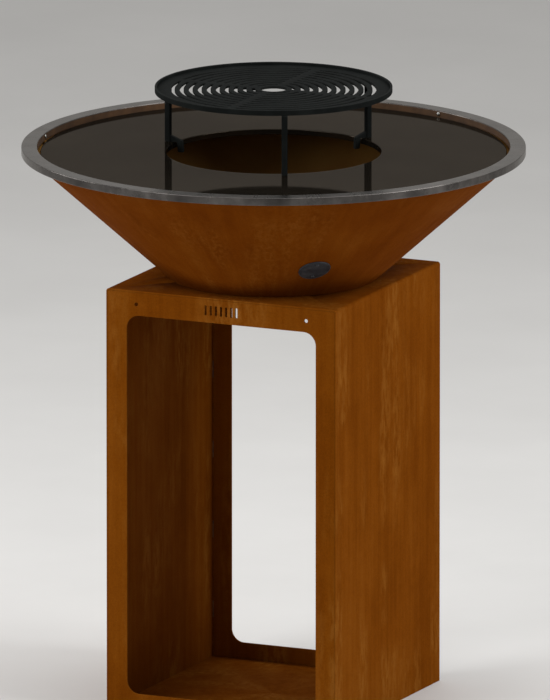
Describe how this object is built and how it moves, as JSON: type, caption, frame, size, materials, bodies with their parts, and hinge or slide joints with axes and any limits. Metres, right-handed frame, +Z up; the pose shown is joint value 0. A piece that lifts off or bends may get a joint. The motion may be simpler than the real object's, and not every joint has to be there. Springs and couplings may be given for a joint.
{
  "type": "fire pit with grate",
  "caption": "Wood-fired brazier: box base with a wood bay, conical fire bowl, steel rim collar, lift-off ring cooking plate and lift-off slotted round grate on three legs.",
  "frame": {"origin": "middle of the base's underside, on the ground", "axes": "+Z up, -Y towards the front with the two small holes and the slots, +X to the right seen from the front"},
  "size_m": [0.9, 0.9, 1.1145],
  "materials": {
    "weathered_steel": "weathering steel with an even, matt orange-brown rust",
    "collar_steel": "light grey mill-finish steel, slightly brushed",
    "plancha_steel": "smooth dark steel, seasoned and mirror-like",
    "grate_steel": "blackened steel, satin",
    "bright_fixing": "bright zinc",
    "blued_steel": "dark blue-grey, satin"
  },
  "bodies": {
    "stand": {"base_shell": "weathered_steel", "front_frame": "weathered_steel", "rear_frame": "weathered_steel", "base_floor": "weathered_steel", "bowl_cone": "weathered_steel", "bowl_floor": "weathered_steel", "badge": "blued_steel", "badge_rivet_1": "blued_steel", "badge_rivet_2": "blued_steel", "collar": "collar_steel", "plancha_lug_1": "weathered_steel", "plancha_lug_2": "weathered_steel", "plancha_lug_3": "weathered_steel", "collar_screw_1": "bright_fixing", "collar_screw_2": "bright_fixing", "collar_screw_3": "bright_fixing", "bowl_bolt_1": "bright_fixing", "bowl_bolt_2": "bright_fixing", "bowl_bolt_3": "bright_fixing", "bowl_bolt_4": "bright_fixing", "bowl_washer_1": "bright_fixing", "bowl_washer_2": "bright_fixing", "bowl_washer_3": "bright_fixing", "bowl_washer_4": "bright_fixing", "bowl_nut_1": "bright_fixing", "bowl_nut_2": "bright_fixing", "bowl_nut_3": "bright_fixing", "bowl_nut_4": "bright_fixing"},
    "plancha": {"plancha": "plancha_steel"},
    "grate": {"grate_plate": "grate_steel", "grate_band": "grate_steel", "grate_leg_1": "grate_steel", "grate_leg_2": "grate_steel", "grate_leg_3": "grate_steel", "grate_foot_1": "grate_steel", "grate_foot_2": "grate_steel", "grate_foot_3": "grate_steel"}
  },
  "joints": [
    {"name": "plancha_lift", "type": "slide", "parent": "stand", "child": "plancha", "axis": [0, 0, 1], "range_m": [0, 0.25]},
    {"name": "grate_lift", "type": "slide", "parent": "plancha", "child": "grate", "axis": [0, 0, 1], "range_m": [0, 0.25]}
  ]
}
